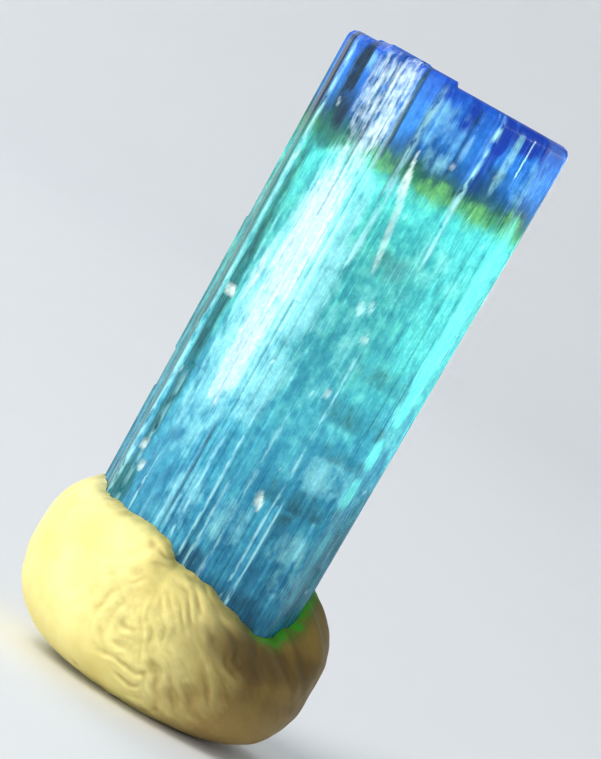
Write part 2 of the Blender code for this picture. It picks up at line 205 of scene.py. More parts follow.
# Painted glow: bright cyan patches where light that passed through the crystal would shine out,
# mostly along its right edge.
PAINTED_GLOW = (
    (66, 19.7, 9, 4.4, 0.95), (50, 19.4, 13, 3.4, 0.38), (61, 13.4, 5.4, 0.72, 1.0),
    (60.5, 11.6, 5.4, 0.72, 1.0), (66, 15.6, 6, 0.9, 0.9), (63, 9.2, 4, 0.8, 0.45),
    (5, 22.7, 34, 0.7, 0.4), (62, 7.6, 4.5, 2.6, 0.32), (40, 22.6, 22, 0.9, 0.45),
    (-58, 21.6, 6, 1.4, 0.35), (-110, 15.0, 6, 5.0, 0.5), (135, 18.0, 6, 4.2, 0.5),
    (178, 21.8, 26, 1.4, 0.4),
)
DEEP = (
    (-2, 6.1, 12, 1.1, 0.36), (48, 27.2, 12, 0.7, 0.95), (34, 26.9, 5, 1.0, 0.8),
    (12, 27.0, 4, 0.9, 0.9), (-2, 27.4, 6, 0.4, 0.5), (33, 25.4, 3.4, 1.5, 0.5),
    (24, 25.2, 3, 0.9, 0.4), (170, 26.8, 34, 1.1, 0.8), (-120, 26.8, 20, 1.0, 0.7),
)
LIME = (
    (9, 23.66, 4.0, 0.4, 0.55), (19, 23.66, 6.5, 0.5, 0.75), (41, 23.58, 9.0, 0.48, 0.75),
    (31, 23.66, 5, 0.34, 0.45), (64, 23.9, 9, 0.7, 0.5), (-14, 23.8, 14, 0.5, 0.25),
    (160, 23.5, 14, 0.4, 0.6), (-165, 23.6, 10, 0.35, 0.5), (100, 23.4, 9, 0.4, 0.6),
)
PATCHES = {
    "painted_highlight": PAINTED_HIGHLIGHT, "milk_and_painted_halo": MILK_AND_PAINTED_HALO, "green": GREEN, "shade": SHADE,
    "painted_glow": PAINTED_GLOW, "deep": DEEP, "lime": LIME,
}

# The putty's form, as in the part but for a closer fit and a higher rim on the front: its
# size, how much of its underside is pressed flat, and the gap.
PUTTY_WIDTH = 12.88 * MM
PUTTY_DEPTH = 11.8 * MM
BASE_CUT = 0.13 * MM
CLOSE_GAP = 0.02 * MM
# The widest level of the lump, as a share of its height at the crystal in that direction.
BELLY_SHARE = 0.5
BELLY_BASE = 0.45 * MM
# How square the lump is above and below that level, where 2 is an ellipse, and by how much
# that changes from the front to the +X side.
UPPER_SQUARENESS = (2.65, -0.45)
LOWER_SQUARENESS = (2.85, 0.25)
# The putty's height by the crystal in millimetres, by direction in degrees.
RIM_HEIGHTS = (
    (-180, 7.65), (-120, 7.6), (-90, 7.45), (-62, 7.0), (-38, 6.98), (-21, 6.92), (-9, 6.2),
    (10, 5.95), (24, 5.6), (46, 5.12), (60, 5.15), (69, 5.7), (82, 7.0), (96, 7.55), (125, 7.8),
    (180, 7.65),
)
# The directions beside each one over which the crystal's corners are evened out.
GRIP_TURNS = (-24, -12, 0, 12, 24)
# The lump's mesh, finer on the front beyond this share of its depth.
PUTTY_SUBDIVISIONS = 7
PUTTY_FINE_BEYOND = 0.45
PUTTY_SHARP_ANGLE = math.radians(60)
# The thumb's whorl in millimetres: its middle, where its left side sets in and over what
# width, how its ovals lie, where it fades out, and its ridges' spacing and depth.
WHORL_AT = (-0.7, 3.6)
WHORL_LEFT = (-3.6, 1.4)
WHORL_TURN = math.radians(28)
WHORL_STRETCH = 1.3
WHORL_SPAN = (2.6, 4.6)
RIDGE_SPACING = 0.57
RIDGE_DEPTH = 0.052
# The bends in its ridges: how far each kind draws them aside, and how wide it is.
WHORL_BENDS = ((0.34, 1.1), (0.07, 0.4))
# How wide the spots are where the ridges are worn off and where they are lumpy.
WORN_SIZE, LUMPY_SIZE = 0.62, 0.3
# The fan of folds beside it: where it spreads from, the angle from fold to fold, how a fold
# bends and curves on its way out, where the fan lies, how it fades, and the folds' depth.
FAN_AT = (-3.4, 8.4)
FAN_STEP = math.radians(4.3)
FAN_BEND = 0.035
FAN_CURVE = 0.06
FAN_ANGLES = (math.radians(-55), math.radians(-32))
FAN_SPAN = (5.0, 8.6)
FAN_EDGES = (0.2, 0.9)
FAN_DEPTH = 0.040
# The share of the whorl that is left where the fan covers it.
UNDER_FAN = 0.2
# Dimples and press marks: middle across and up, radius and depth, on the front and behind.
DIMPLES = (
    (-2.0, 5.3, 0.26, 0.05), (-1.4, 5.9, 0.22, 0.05), (-0.2, 3.3, 0.20, 0.04),
    (-0.9, 4.9, 0.25, 0.04), (2.3, 2.1, 0.45, 0.08), (1.5, 1.6, 0.35, 0.07),
    (3.1, 3.9, 0.45, 0.07), (4.3, 3.4, 0.60, 0.06), (0.4, 2.3, 0.35, 0.05),
)
DIMPLES_BEHIND = (
    (-2.6, 4.4, 1.7, 0.16), (1.9, 3.8, 1.9, 0.18), (0.2, 6.2, 0.9, 0.10), (4.2, 2.6, 1.1, 0.10),
)
# A fainter print behind: its middle, and its strength beside the one on the front.
WHORL_BEHIND = (1.4, 3.9)
FAINT_PRINT = 0.7
# The relief of the lump's unevenness, and how far from the middle the marks set in.
UNEVEN = 0.045
RELIEF_FADE = 2.2
# Presses go in along the line to the lump's middle, but flatter by this share.
PRESS_FLAT = 0.6


def facing(degrees):
    """The direction in plan that is this many degrees from -Y towards +X."""
    angle = math.radians(degrees)
    return Vector((math.sin(angle), -math.cos(angle)))


def smooth_field(x, y, seed):
    """Soft noise from -1 to 1 over a plane, with bumps about one unit across."""
    table = np.random.default_rng(seed).uniform(-1.0, 1.0, (64, 64))
    i, j = np.floor(x).astype(int), np.floor(y).astype(int)
    u, v = smooth_step(x - i), smooth_step(y - j)
    near = table[i % 64, j % 64] * (1 - u) + table[(i + 1) % 64, j % 64] * u
    far = table[i % 64, (j + 1) % 64] * (1 - u) + table[(i + 1) % 64, (j + 1) % 64] * u
    return near * (1 - v) + far * v


def smooth_step(share):
    share = np.clip(share, 0.0, 1.0)
    return share * share * (3.0 - 2.0 * share)


def axis_at(z):
    return AXIS_AT_TOP + AXIS_LEAN * ((CRYSTAL_TOP - z) / TAPER_LENGTH)


def width_at(z):
    """The section's size at this height, as a share of its size at the top."""
    return 1.0 - TAPER * (CRYSTAL_TOP - z) / TAPER_LENGTH


def section_corners():
    """The corners between each face and the next, about the axis, at the top's size."""
    corners = []
    for index, (here, here_out) in enumerate(PRISM_FACES):
        there, there_out = PRISM_FACES[(index + 1) % len(PRISM_FACES)]
        a, b = facing(here), facing(there)
        cross = a.x * b.y - a.y * b.x
        x = (here_out * b.y - there_out * a.y) / cross
        y = (there_out * a.x - here_out * b.x) / cross
        corners.append(Vector((x, y)) * MM)
    return corners


def face_strips(width, chooser):
    """One face's strips: where each starts and ends, and how far in it is set per layer."""
    count = max(1, round(width / STRIP_WIDTH))
    weights = [chooser.uniform(*STRIP_WEIGHTS) for _ in range(count)]
    strips = []
    start = ARRIS
    previous = None
    for weight in weights:
        end = start + (width - 2 * ARRIS) * weight / sum(weights)
        depth = chooser.choice([d for d in STRIP_DEPTHS if d != previous])
        previous = depth
        depths = [depth]
        for _ in LEDGE_HEIGHTS:
            if chooser.random() < LEDGE_CHANCE:
                depth = abs(depth + chooser.choice((-1, 1)) * LEDGE_STEP)
            depths.append(depth)
        strips.append((start, end, depths))
        start = end
    return strips


def crystal_columns():
    """Every vertical line of points: place about the axis at the top's size, outward
    direction, depth per layer, and how far the fine striation may cut in there."""
    chooser = random.Random(STRIP_SEED)
    corners = section_corners()
    faces = []
    for index, (degrees, _) in enumerate(PRISM_FACES):
        first, last = corners[index - 1], corners[index]
        strips = face_strips((last - first).length, chooser)
        if degrees == QUIET_FACE:
            beside = faces[-1][3][-1][2]
            strips[0][2][:QUIET_LAYERS] = beside[:QUIET_LAYERS]
        faces.append((first, (last - first).normalized(), facing(degrees), strips))
    columns = []
    for index, (first, along, outward, strips) in enumerate(faces):
        before, after = faces[index - 1][3][-1][2], strips[0][2]
        depths = [(a + b) / 2 for a, b in zip(before, after)]
        columns.append((first, first.normalized(), depths, 0.0))
        for start, end, depths in strips:
            low, high = start + STRIP_WALL / 2, end - STRIP_WALL / 2
            spacing = STRIA_SPACING if outward.y < 0 else STRIA_SPACING_BEHIND
            steps = max(1, round((high - low) / spacing))
            for step in range(steps + 1):
                place = first + along * (low + (high - low) * step / steps)
                inner = 0.0 if step in (0, steps) else 1.0
                columns.append((place, outward, depths, inner))
    return columns


def ring_levels():
    """Height, layer position and inset of each ring of points, from the foot up."""
    levels = [(CRYSTAL_FOOT + up, 0.0, inset) for up, inset in FOOT_RIM]
    heights = [CRYSTAL_FOOT + FOOT_RIM[-1][0] + BURIED_RISE]
    while heights[-1] < CRYSTAL_TOP - TOP_RIM[0][0] - RING_RISE:
        rise = BURIED_RISE if heights[-1] < BURIED_BELOW else RING_RISE
        heights.append(heights[-1] + rise)
    marks = {}
    for layer, z in enumerate(LEDGE_HEIGHTS):
        marks[z - LEDGE_RISE / 2] = float(layer)
        marks[z + LEDGE_RISE / 2] = float(layer + 1)
    clear = LEDGE_RISE * 1.2
    for z in heights:
        if all(abs(z - ledge) > clear for ledge in LEDGE_HEIGHTS):
            marks[z] = float(sum(ledge < z for ledge in LEDGE_HEIGHTS))
    levels += [(z, marks[z], 0.0) for z in sorted(marks)]
    levels += [(CRYSTAL_TOP - down, float(len(LEDGE_HEIGHTS)), inset) for down, inset in TOP_RIM]
    return levels


def smooth_noise(generator, count, heights, knots):
    """For each of many columns, values from -1 to 1 that change smoothly with height."""
    values = generator.uniform(-1.0, 1.0, (count, knots))
    places = np.linspace(0, knots - 1.001, len(heights))
    whole = places.astype(int)
    share = smooth_step(places - whole)
    return values[:, whole] * (1 - share) + values[:, whole + 1] * share


def top_drop(x, y):
    """How far the termination lies below the crystal's top at points of the plan."""
    drop = np.zeros_like(x)
    for edge, degrees, depth in TOP_STEPS:
        away = facing(degrees)
        lower = (x - edge.x) * away.x + (y - edge.y) * away.y > 0
        drop = np.where(lower, np.maximum(drop, depth), drop)
    inside = np.full(x.shape, np.inf)
    for side in range(3):
        angle = math.radians(HILLOCK_TURN + 120 * side + 60)
        out = (x - HILLOCK_AT.x) * math.sin(angle) - (y - HILLOCK_AT.y) * math.cos(angle)
        inside = np.minimum(inside, HILLOCK_RADIUS / 2 - out)
    return np.where(inside > 0, -HILLOCK_HEIGHT, drop)


def speck_list():
    """The named pits, and small random ones all round, in the same form."""
    chooser = random.Random(DETAIL_SEED)
    specks = list(PITS)
    for _ in range(SPECK_COUNT):
        size = chooser.uniform(*SPECK_SIZES)
        specks.append((
            chooser.uniform(-180, 180), chooser.uniform(6, 27), size,
            size * chooser.uniform(0.8, 2.6), SPECK_DEPTH, chooser.uniform(-30, 30), SPECK_STRENGTH,
        ))
    return specks


def press_pits(azimuth, z):
    """How deep the pits cut at each point, and how frosted they leave it."""
    cut = np.zeros(azimuth.shape)
    frost = np.zeros(azimuth.shape)
    for degrees, up, half_width, half_height, depth, lean, strength in speck_list():
        turn = (azimuth - degrees + 180) % 360 - 180
        across = np.radians(turn) * MEAN_RADIUS / MM
        rise = z / MM - up
        slope = math.radians(lean)
        side = (across * math.cos(slope) - rise * math.sin(slope)) / half_width
        along = (across * math.sin(slope) + rise * math.cos(slope)) / half_height
        out = np.hypot(side, along)
        cut = np.maximum(cut, depth * MM * np.sqrt(np.clip(1 - out**2, 0, 1)))
        frost = np.maximum(frost, strength * smooth_step((1.25 - out) / 0.4))
    return cut, frost


def rub_and_glint_lines(azimuth, z):
    """How worn the rubbed lines leave each point, and so how much painted glint it gets."""
    worn = np.zeros(azimuth.shape)
    for degrees, low, high, half_width, strength in RUBBED_AND_GLINT_LINES:
        up, row = z / MM / RUB_RISE, np.full(z.shape, 7.3 * degrees)
        sway = RUB_SWAY * smooth_field(up, row, RUB_SEED)
        width = half_width * (1 + RUB_VARIES * smooth_field(1.7 * up, row, RUB_SEED + 1)) * MM
        turn = (azimuth - degrees + sway + 180) % 360 - 180
        near = np.exp(-((np.radians(turn) * MEAN_RADIUS / width) ** 2))
        span = smooth_step((z / MM - low) / 0.8) * smooth_step((high - z / MM) / 0.8)
        worn = np.maximum(worn, strength * near * span)
    return worn


def spread_patches(azimuth, z, patches):
    """How strongly a list of patches covers each point, from 0 to 1."""
    cover = np.zeros(azimuth.shape)
    for degrees, up, half_width, half_height, strength in patches:
        turn = np.abs((azimuth - degrees + 180) % 360 - 180)
        out = (turn / half_width) ** 3 + np.abs((z / MM - up) / half_height) ** 3
        cover = np.maximum(cover, strength * np.clip(PATCH_EDGE * (1.15 - out ** (1 / 3)), 0, 1))
    return cover


def add_object(name, data):
    added = bpy.data.objects.new(name, data)
    bpy.context.scene.collection.objects.link(added)
    return added


def add_mesh(name, points, faces):
    mesh = bpy.data.meshes.new(name)
    mesh.from_pydata([tuple(p) for p in points], [], faces)
    mesh.validate()
    return add_object(name, mesh)


def band(low, high, count):
    """The faces between two rings of this many points, by where each ring's points start."""
    pairs = [(index, (index + 1) % count) for index in range(count)]
    return [(low + here, low + after, high + after, high + here) for here, after in pairs]


def add_values(piece, name, values):
    """Stores one number for each point of the piece, for its material to read."""
    attribute = piece.data.attributes.new(name, "FLOAT", "POINT")
    attribute.data.foreach_set("value", np.asarray(values, np.float32))


def build_crystal():
    columns = crystal_columns()
    levels = ring_levels()
    plan = np.array([(place.x, place.y) for place, _, _, _ in columns])
    outward = np.array([(out.x, out.y) for _, out, _, _ in columns])
    layers = np.array([depths for _, _, depths, _ in columns])
    inner = np.array([share for _, _, _, share in columns])
    heights = np.array([z for z, _, _ in levels])
    layer = np.array([int(position) for _, position, _ in levels])
    inset = np.array([inset for _, _, inset in levels])
    count, rings = len(columns), len(levels)

    generator = np.random.default_rng(DETAIL_SEED)
    steady = generator.uniform(0.0, 1.0, (count, 1))
    change = smooth_noise(generator, count, heights, STRIA_KNOTS)
    groove = np.clip(steady + 0.4 * change - STRIA_GROOVES, 0.0, 1.0) / (1.0 - STRIA_GROOVES)
    azimuth = np.degrees(np.arctan2(plan[:, 0], -plan[:, 1]))[:, None] + np.zeros(rings)
    calm = window(azimuth, *CALM_TURNS, 8) * smooth_step((heights / MM - CALM_FROM) / 2)
    stria = inner[:, None] * STRIA_RELIEF * groove * (1 - (1 - CALM_KEEPS) * calm)
    cut, frost = press_pits(azimuth, heights[None, :] + np.zeros((count, 1)))
    depth = layers[:, layer] + stria + cut

    widths = np.array([width_at(z) for z in heights]) * (1 - inset / MEAN_RADIUS)
    axes = np.array([tuple(axis_at(z)) for z in heights])
    flat = plan[:, None, :] - outward[:, None, :] * depth[:, :, None]
    placed = flat * widths[None, :, None] + axes[None, :, :]
    drop = top_drop(placed[:, :, 0], placed[:, :, 1])
    near_top = heights[None, :] > CRYSTAL_TOP - TOP_RIM[0][0] - 1e-9
    z = heights[None, :] - np.where(near_top, drop, 0.0)
    worn = rub_and_glint_lines(azimuth, z)

    points = np.dstack([placed, z]).transpose(1, 0, 2).reshape(-1, 3)
    frosts = list(frost.T.ravel())
    worns = list(worn.T.ravel())
    faces = []
    for ring in range(rings - 1):
        faces += band(ring * count, (ring + 1) * count, count)
    faces.append(tuple(range(count - 1, -1, -1)))

    rim = (rings - 1) * count
    axis = axes[-1]
    points = [tuple(p) for p in points]
    previous = rim
    for ring in range(1, CAP_RINGS):
        share = 1.0 - ring / CAP_RINGS
        flat = (placed[:, -1, :] - axis) * share + axis
        z = CRYSTAL_TOP - top_drop(flat[:, 0], flat[:, 1])
        start = len(points)
        points += [(x, y, up) for (x, y), up in zip(flat, z)]
        faces += band(previous, start, count)
        previous = start
    middle = CRYSTAL_TOP - float(top_drop(axis[:1], axis[1:])[0])
    points.append((axis[0], axis[1], middle))
    centre = len(points) - 1
    for index in range(count):
        faces.append((previous + index, previous + (index + 1) % count, centre))
    extra = len(points) - len(frosts)
    piece = add_mesh("tourmaline", points, faces)
    add_values(piece, "frost", frosts + [0.0] * extra)
    add_values(piece, "worn", worns + [0.0] * extra)
    add_values(piece, "top", [0.0] * len(frosts) + [1.0] * extra)
    place = np.array(points)
    axes = np.array([tuple(axis_at(up)) for up in place[:, 2]])
    turned = np.degrees(np.arctan2(place[:, 0] - axes[:, 0], axes[:, 1] - place[:, 1]))
    for name, patches in PATCHES.items():
        add_values(piece, name, spread_patches(turned, place[:, 2], patches))
    return piece


def crystal_surface(degrees, z):
    """Where the plain prism's surface lies in this direction from the axis."""
    aim = facing(degrees)
    reach = min(
        out * MM / facing(face).dot(aim)
        for face, out in PRISM_FACES
        if facing(face).dot(aim) > FACES_NEAR
    )
    return axis_at(z) + aim * reach * width_at(z)


def rim_height(degrees):
    """The putty's height where it meets the crystal, smoothly between the listed directions."""
    for (here, low), (there, high) in zip(RIM_HEIGHTS, RIM_HEIGHTS[1:]):
        if here <= degrees <= there:
            share = float(smooth_step((degrees - here) / (there - here)))
            return (low + (high - low) * share) * MM
    return RIM_HEIGHTS[0][1] * MM


def grip_radius(degrees, z):
    """How far out the crystal's surface lies from the lump's middle, evened out."""
    near = [crystal_surface(degrees + turn, z).length for turn in GRIP_TURNS]
    return sum(near) / len(near)


def bumps(x, z, size, seed):
    """Soft noise from -1 to 1 with bumps of this size."""
    return smooth_field(x / size, z / size, seed)


def ridges(phase):
    """Rounded crests with narrower valleys, from -1 to 1."""
    wave = 0.5 - 0.5 * np.cos(2 * math.pi * phase)
    return 1.0 - 2.0 * wave**0.8


def window(value, low, high, edge):
    """1 between two limits, fading out over an edge on either side."""
    return smooth_step((value - low) / edge + 1) * smooth_step((high - value) / edge + 1)


def whorl_bend(x, z, seed):
    """How far the ridges of a thumb print are drawn aside along one axis."""
    return sum(
        reach * bumps(x, z, size, seed + number)
        for number, (reach, size) in enumerate(WHORL_BENDS)
    )


def whorl_press(x, z, middle, seed):
    """How far the ridges of one thumb print press in."""
    dx = x + whorl_bend(x, z, seed) - middle[0]
    dz = z + whorl_bend(x, z, seed + 2) - middle[1]
    along = dx * math.cos(WHORL_TURN) + dz * math.sin(WHORL_TURN)
    aside = dz * math.cos(WHORL_TURN) - dx * math.sin(WHORL_TURN)
    out = np.hypot(along / WHORL_STRETCH, aside)
    worn = 0.50 + 1.1 * bumps(x, z, WORN_SIZE, seed + 4)
    fade = 1.0 - smooth_step((out - WHORL_SPAN[0]) / (WHORL_SPAN[1] - WHORL_SPAN[0]))
    lumpy = 0.75 + 0.6 * bumps(x, z, LUMPY_SIZE, seed + 5)
    return RIDGE_DEPTH * ridges(out / RIDGE_SPACING) * fade * np.clip(worn, 0.0, 1.2) * lumpy


def front_press(x, z):
    """How far the thumb print, the folds and the dimples press in on the front."""
    left = smooth_step((x - WHORL_LEFT[0]) / WHORL_LEFT[1])
    fan_x, fan_z = x - FAN_AT[0], z - FAN_AT[1]
    turn = np.arctan2(fan_z, fan_x) + FAN_BEND * bumps(x, z, 0.8, 41)
    out = np.hypot(fan_x, fan_z)
    in_fan = window(turn, *FAN_ANGLES, FAN_EDGES[0]) * window(out, *FAN_SPAN, FAN_EDGES[1])
    patchy = np.clip(0.50 + 1.1 * bumps(x, z, 0.6, 43), 0.0, 1.3)
    fan = FAN_DEPTH * ridges(turn / FAN_STEP + FAN_CURVE * out) * patchy
    whorl = whorl_press(x, z, WHORL_AT, 31) * left * (1 - (1 - UNDER_FAN) * in_fan)
    return whorl + fan * in_fan + dimple_press(x, z, DIMPLES)


def dimple_press(x, z, dimples):
    """How far a list of dimples presses in."""
    press = np.zeros(x.shape)
    for middle_x, middle_z, radius, depth in dimples:
        press += depth * np.exp(-((x - middle_x) ** 2 + (z - middle_z) ** 2) / radius**2)
    return press


def putty_points(directions):
    """Where the lump's surface lies in these directions, and how far its marks press in."""
    degrees = np.degrees(np.arctan2(directions[:, 0], -directions[:, 1]))
    table = range(-180, 181)
    rims = np.interp(degrees, table, [rim_height(turn) for turn in table])
    grips = np.interp(degrees, table, [grip_radius(turn, rim_height(turn)) for turn in table])
    side, ahead = np.sin(np.radians(degrees)), np.cos(np.radians(degrees))
    widest = 0.5 / np.hypot(side / PUTTY_WIDTH, ahead / PUTTY_DEPTH)
    belly = BELLY_BASE + rims * BELLY_SHARE
    upper = UPPER_SQUARENESS[0] + UPPER_SQUARENESS[1] * side
    lower = LOWER_SQUARENESS[0] + LOWER_SQUARENESS[1] * side
    above = directions[:, 2] > 0
    square = np.where(above, upper, lower)
    crown = (rims - belly) / (1 - (grips / widest) ** upper) ** (1 / upper)
    height = np.where(above, crown, belly)
    flat = np.hypot(directions[:, 0], directions[:, 1])
    share = (flat / widest) ** square + (np.abs(directions[:, 2]) / height) ** square
    reach = share ** (-1 / square)
    points = directions * reach[:, None]
    points[:, 2] += belly
    x, y, z = (points / MM).T
    forward = smooth_step(-y / RELIEF_FADE)
    behind = smooth_step(y / RELIEF_FADE)
    rear = dimple_press(x, z, DIMPLES_BEHIND) + FAINT_PRINT * whorl_press(x, z, WHORL_BEHIND, 61)
    lumps = bumps(x + 0.6 * y, z + 0.5 * y, 1.3, 71)
    lumps += 0.5 * bumps(x - 0.7 * y, z + 0.6 * y, 0.5, 72)
    relief = front_press(x, z) * forward + rear * behind
    press = (relief + UNEVEN * lumps) * MM
    inward = -directions * np.array([1.0, 1.0, PRESS_FLAT])
    inward /= np.linalg.norm(inward, axis=1)[:, None]
    return points + inward * press[:, None], relief * MM


def build_cutter():
    """The crystal's own outline by the putty with the close gap round it."""
    outline = [
        (place - outward * depths[0], outward)
        for place, outward, depths, inner in crystal_columns() if not inner
    ]
    points = []
    for z in (CRYSTAL_FOOT - CLOSE_GAP, CRYSTAL_TOP / 2):
        for place, outward in outline:
            point = axis_at(z) + place * width_at(z) + outward * CLOSE_GAP
            points.append((point.x, point.y, z))
    count = len(outline)
    ends = [tuple(range(count - 1, -1, -1)), tuple(range(count, 2 * count))]
    return add_mesh("pocket", points, band(0, count, count) + ends)


def build_putty():
    bm = bmesh.new()
    bmesh.ops.create_icosphere(bm, subdivisions=PUTTY_SUBDIVISIONS, radius=1.0)
    front = {e for f in bm.faces if f.calc_center_median().y < -PUTTY_FINE_BEYOND for e in f.edges}
    bmesh.ops.subdivide_edges(bm, edges=list(front), cuts=1, use_grid_fill=True)
    bmesh.ops.triangulate(bm, faces=bm.faces)
    groove = bm.verts.layers.float.new("groove")
    directions = np.array([tuple(v.co.normalized()) for v in bm.verts])
    points, relief = putty_points(directions)
    for v, point, depth in zip(bm.verts, points, relief):
        v.co, v[groove] = point, depth
    for axis, size in enumerate((PUTTY_WIDTH, PUTTY_DEPTH)):
        low = min(v.co[axis] for v in bm.verts)
        high = max(v.co[axis] for v in bm.verts)
        for v in bm.verts:
            v.co[axis] = (v.co[axis] - (low + high) / 2) * size / (high - low)
    bmesh.ops.bisect_plane(
        bm, geom=bm.verts[:] + bm.edges[:] + bm.faces[:], dist=1e-8,
        plane_co=(0, 0, BASE_CUT), plane_no=(0, 0, -1), clear_outer=True,
    )
    bmesh.ops.holes_fill(bm, edges=[e for e in bm.edges if e.is_boundary])
    bmesh.ops.translate(bm, verts=bm.verts, vec=(0, 0, -BASE_CUT))
    bmesh.ops.recalc_face_normals(bm, faces=bm.faces)
    mesh = bpy.data.meshes.new("putty")
    bm.to_mesh(mesh)
    bm.free()
    piece = add_object("putty", mesh)
    cutter = build_cutter()
    cut = piece.modifiers.new("pocket", "BOOLEAN")
    cut.operation = "DIFFERENCE"
    cut.solver = "EXACT"
    cut.object = cutter
    graph = bpy.context.evaluated_depsgraph_get()
    finished = bpy.data.meshes.new_from_object(piece.evaluated_get(graph))
    piece.modifiers.clear()
    piece.data = finished
    bpy.data.objects.remove(cutter)
    finished.shade_smooth()
    finished.set_sharp_from_angle(angle=PUTTY_SHARP_ANGLE)
    return piece


class Shader:
    """Short calls that add and link the nodes of one material."""

    def __init__(self, name):
        self.material = bpy.data.materials.new(name)
        self.material.use_nodes = True
        self.tree = self.material.node_tree
        self.surface = self.tree.nodes["Principled BSDF"]
        self.output = self.tree.nodes["Material Output"]

    def paint(self, **values):
        self.fill(self.surface, values)

    def node(self, kind, **values):
        made = self.tree.nodes.new(kind)
        self.fill(made, values)
        return made

    def fill(self, node, values):
        """Feeds a node's sockets by name, with _ for each space in it."""
        for name, value in values.items():
            self.feed(node.inputs[name.replace("_", " ")], value)

    def feed(self, socket, value):
        """Links another node's socket to this one, or else sets it to the plain value."""
        if isinstance(value, bpy.types.NodeSocket):
            self.tree.links.new(value, socket)
        else:
            socket.default_value = value

    def math(self, operation, *values):
        made = self.tree.nodes.new("ShaderNodeMath")
        made.operation = operation
        for socket, value in zip(made.inputs, values):
            self.feed(socket, value)
        return made.outputs[0]

    def mix(self, share, first, second, blend="MIX"):
        made = self.tree.nodes.new("ShaderNodeMix")
        made.data_type = "RGBA"
        made.blend_type = blend
        self.feed(made.inputs["Factor"], share)
        self.feed(made.inputs["A"], self.opaque(first))
        self.feed(made.inputs["B"], self.opaque(second))
        return made.outputs["Result"]

    def tinted(self, colour, noise, tints):
        """The colour, tinted where the noise is low or high."""
        tint = self.ramp(noise, ((0.0, tints[0]), (0.5, (1, 1, 1)), (1.0, tints[1])))
        return self.mix(1.0, colour, tint, "MULTIPLY")

    def weighted(self, first, share, second):
        """The first value by its share, and the second by the rest."""
        return self.math("MULTIPLY_ADD", first, share, self.math("MULTIPLY", second, 1.0 - share))

    def opaque(self, colour):
        return colour if isinstance(colour, bpy.types.NodeSocket) else (*colour, 1.0)

    def spread(self, value, low, high, to_low=0.0, to_high=1.0):
        """The value moved from one range to another, and held to it."""
        made = self.node(
            "ShaderNodeMapRange", Value=value, From_Min=low, From_Max=high,
            To_Min=to_low, To_Max=to_high,
        )
        return made.outputs["Result"]

    def ramp(self, value, stops):
        made = self.node("ShaderNodeValToRGB", Fac=value)
        elements = made.color_ramp.elements
        while len(elements) < len(stops):
            elements.new(0.5)
        for element, (place, colour) in zip(elements, stops):
            element.position = place
            element.color = (*colour, 1.0)
        return made.outputs["Color"]

    def scaled(self, vector, x, y, z):
        made = self.node("ShaderNodeVectorMath")
        made.operation = "MULTIPLY"
        self.feed(made.inputs[0], vector)
        made.inputs[1].default_value = (x, y, z)
        return made.outputs["Vector"]

    def place(self):
        """The place on the piece, in metres."""
        return self.node("ShaderNodeTexCoord").outputs["Object"]

    def in_millimetres(self, place):
        place = self.scaled(place, 1 / MM, 1 / MM, 1 / MM)
        return self.node("ShaderNodeSeparateXYZ", Vector=place).outputs

    def noise(self, vector, detail, roughness=0.5):
        made = self.node(
            "ShaderNodeTexNoise", Vector=vector, Scale=1.0, Detail=detail, Roughness=roughness,
        )
        return made.outputs["Fac"]

    def grain(self, place, bumps, detail, roughness=0.5):
        """Noise with this many bumps a metre in every direction."""
        return self.noise(self.scaled(place, bumps, bumps, bumps), detail, roughness)

    def stored(self, name):
        made = self.tree.nodes.new("ShaderNodeAttribute")
        made.attribute_name = name
        return made.outputs["Fac"]

    def bump(self, height, distance, strength=1.0, under=None):
        made = self.node("ShaderNodeBump", Height=height, Distance=distance, Strength=strength)
        if under is not None:
            self.feed(made.inputs["Normal"], under)
        return made.outputs["Normal"]


# Colour zones of the crystal: height in millimetres and colour.
ZONES = (
    (4.0, (0.010, 0.160, 0.290)),
    (6.5, (0.028, 0.250, 0.420)),
    (9.5, (0.040, 0.330, 0.500)),
    (12.5, (0.056, 0.420, 0.560)),
    (16.5, (0.066, 0.490, 0.510)),
    (20.5, (0.066, 0.530, 0.500)),
    (22.9, (0.065, 0.660, 0.630)),
    (23.3, (0.062, 0.500, 0.370)),
    (23.65, (0.044, 0.290, 0.130)),
    (24.1, (0.022, 0.130, 0.105)),
    (24.7, (0.012, 0.115, 0.340)),
    (25.4, (0.026, 0.240, 0.760)),
    (26.4, (0.022, 0.215, 0.800)),
    (27.8, (0.007, 0.080, 0.600)),
)
# How far the zones' limits wander with the broad and the cloudy noise, and the offset.
ZONE_DRIFT = (0.45, 0.30)
ZONE_OFFSET = -0.37
# The crystal's noises: bumps a metre across it and along it, and detail.
NOISES = {
    "streak": (6500, 160, 4), "broad": (2200, 260, 3), "cloud": (1500, 1000, 4),
    "fleck": (3800, 2400, 4), "brush": (5200, 900, 4), "crumb": (9000, 6500, 3),
    "broken": (5000, 1500, 3),
}
# The part of a noise that is stretched to the range from 0 to 1.
NOISE_RANGE = (0.34, 0.66)
BROKEN_RANGE = (0.36, 0.58)
# Tints that mottle the crystal, at a noise's lowest value and at its highest.
STREAK_TINTS = (0.76, 0.84, 0.90), (1.30, 1.20, 1.12)
CLOUD_TINTS = (0.62, 0.72, 0.80), (1.60, 1.25, 1.12)
FLECK_TINTS = (0.70, 0.80, 0.86), (1.70, 1.25, 1.16)
CRUMB_TINTS = (0.86, 0.92, 0.95), (1.30, 1.12, 1.07)
# The streaks set in between these heights in millimetres, from this share up.
STREAK_HEIGHTS = (14.0, 11.0)
STREAK_LEAST = 0.35
